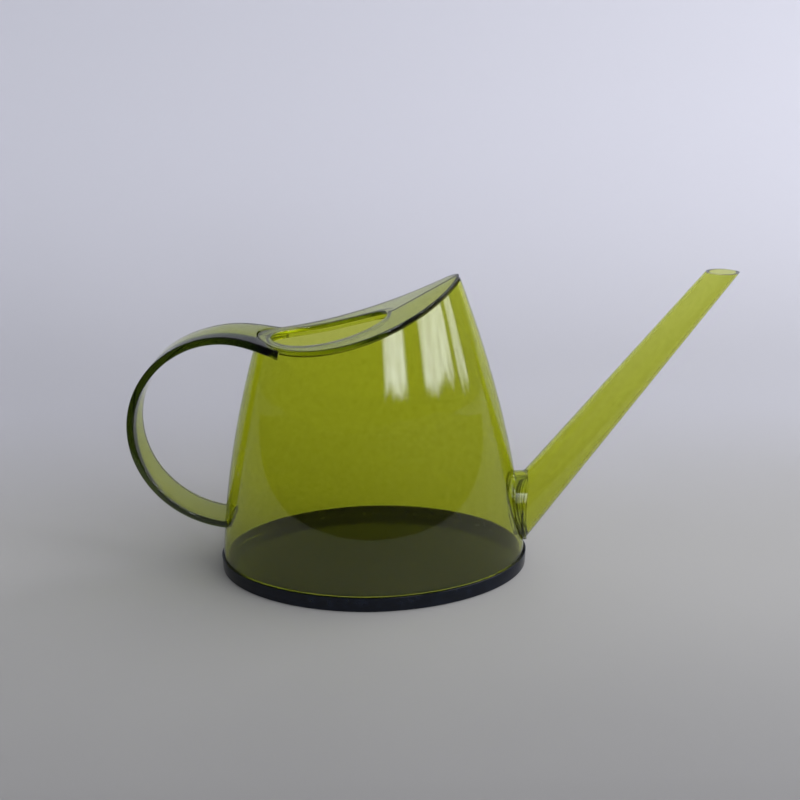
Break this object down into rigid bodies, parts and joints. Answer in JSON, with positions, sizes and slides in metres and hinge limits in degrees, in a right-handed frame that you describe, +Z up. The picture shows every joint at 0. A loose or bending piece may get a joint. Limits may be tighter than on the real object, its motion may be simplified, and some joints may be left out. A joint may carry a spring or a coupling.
{
  "type": "watering can",
  "caption": "Clear green indoor watering can: tapered oval body on a dark tray, saddle cover with an oval fill hole, flat strap loop handle and long straight spout.",
  "frame": {"origin": "middle of the tray's flat underside, where the can stands", "axes": "+X towards the spout, +Z up, +Y completes a right-handed frame; the can is symmetric about the X-Z plane"},
  "size_m": [0.3086, 0.0984, 0.1623],
  "materials": {
    "base_tray": "dark navy moulded styrene, glossy",
    "body_shell": "transparent yellow-green moulded styrene, glossy",
    "top_cover": "transparent yellow-green moulded styrene, glossy",
    "handle_strap": "transparent yellow-green moulded styrene, glossy",
    "spout_tube": "transparent yellow-green moulded styrene, glossy"
  },
  "bodies": {
    "root": {"base_tray": "base_tray", "body_shell": "body_shell", "top_cover": "top_cover", "handle_strap": "handle_strap", "spout_tube": "spout_tube"}
  },
  "joints": []
}
